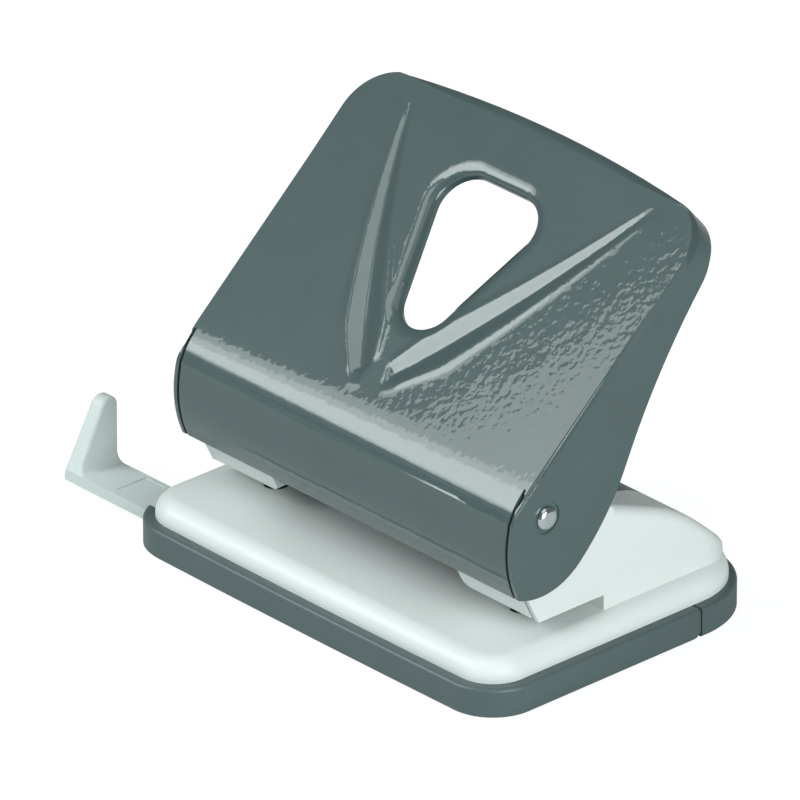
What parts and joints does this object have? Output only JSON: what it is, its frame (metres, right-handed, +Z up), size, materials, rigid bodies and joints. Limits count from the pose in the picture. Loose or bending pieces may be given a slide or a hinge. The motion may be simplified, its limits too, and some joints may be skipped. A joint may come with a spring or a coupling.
{
  "type": "hole punch",
  "caption": "Desk paper punch: pressed steel lever with a cut-out, white steel base and frame, chip tray, sliding paper guide.",
  "frame": {"origin": "middle of the base's underside, on the surface it stands on", "axes": "+X to the right seen from the front, +Y to the rear, +Z up"},
  "size_m": [0.1476, 0.0854, 0.0985],
  "materials": {
    "lever_paint": "gloss",
    "body_paint": "satin",
    "dark_plastic": "satin",
    "pale_plastic": "satin",
    "steel": "satin"
  },
  "bodies": {
    "base": {"base_plate": "body_paint", "punch_frame": "body_paint", "rear_cover": "dark_plastic", "rear_skirt": "dark_plastic", "left_upper_guide": "steel", "right_upper_guide": "steel", "left_guide_bush": "steel", "right_guide_bush": "steel", "frame_rivets": "steel", "skirt_screws": "steel", "guide_runner": "steel", "tray_hinge_pins": "steel", "left_return_spring": "steel", "right_return_spring": "steel"},
    "handle": {"lever": "lever_paint", "pivot_axle": "steel", "axle_washers": "steel", "left_thrust_arm": "steel", "right_thrust_arm": "steel"},
    "left_pin": {"left_punch_pin": "steel", "left_pin_clip": "steel", "left_spring_washer": "steel"},
    "right_pin": {"right_punch_pin": "steel", "right_pin_clip": "steel", "right_spring_washer": "steel"},
    "guide": {"paper_guide": "pale_plastic"},
    "tray": {"chip_tray": "dark_plastic"}
  },
  "joints": [
    {"name": "lever_hinge", "type": "hinge", "parent": "base", "child": "handle", "pos_m": [0, -0.0208, 0.0417], "axis": [-1, 0, 0], "range_deg": [0, 40], "stiffness_Nm_per_rad": 0.23, "springref_deg": -30.94},
    {"name": "left_pin_slide", "type": "slide", "parent": "base", "child": "left_pin", "axis": [0, 0, -1], "range_m": [0, 0.0052], "deforming": ["left_return_spring"]},
    {"name": "right_pin_slide", "type": "slide", "parent": "base", "child": "right_pin", "axis": [0, 0, -1], "range_m": [0, 0.0052], "deforming": ["right_return_spring"]},
    {"name": "paper_guide_slide", "type": "slide", "parent": "base", "child": "guide", "axis": [-1, 0, 0], "range_m": [-0.0217, 0.0655]},
    {"name": "chip_tray_hinge", "type": "hinge", "parent": "base", "child": "tray", "pos_m": [0, 0.02055, 0.0019], "axis": [1, 0, 0], "range_deg": [0, 45]}
  ],
  "couplings": [
    {"joint": "left_pin_slide", "follows": "lever_hinge", "m_per_rad": 0.00735},
    {"joint": "right_pin_slide", "follows": "lever_hinge", "m_per_rad": 0.00735}
  ]
}
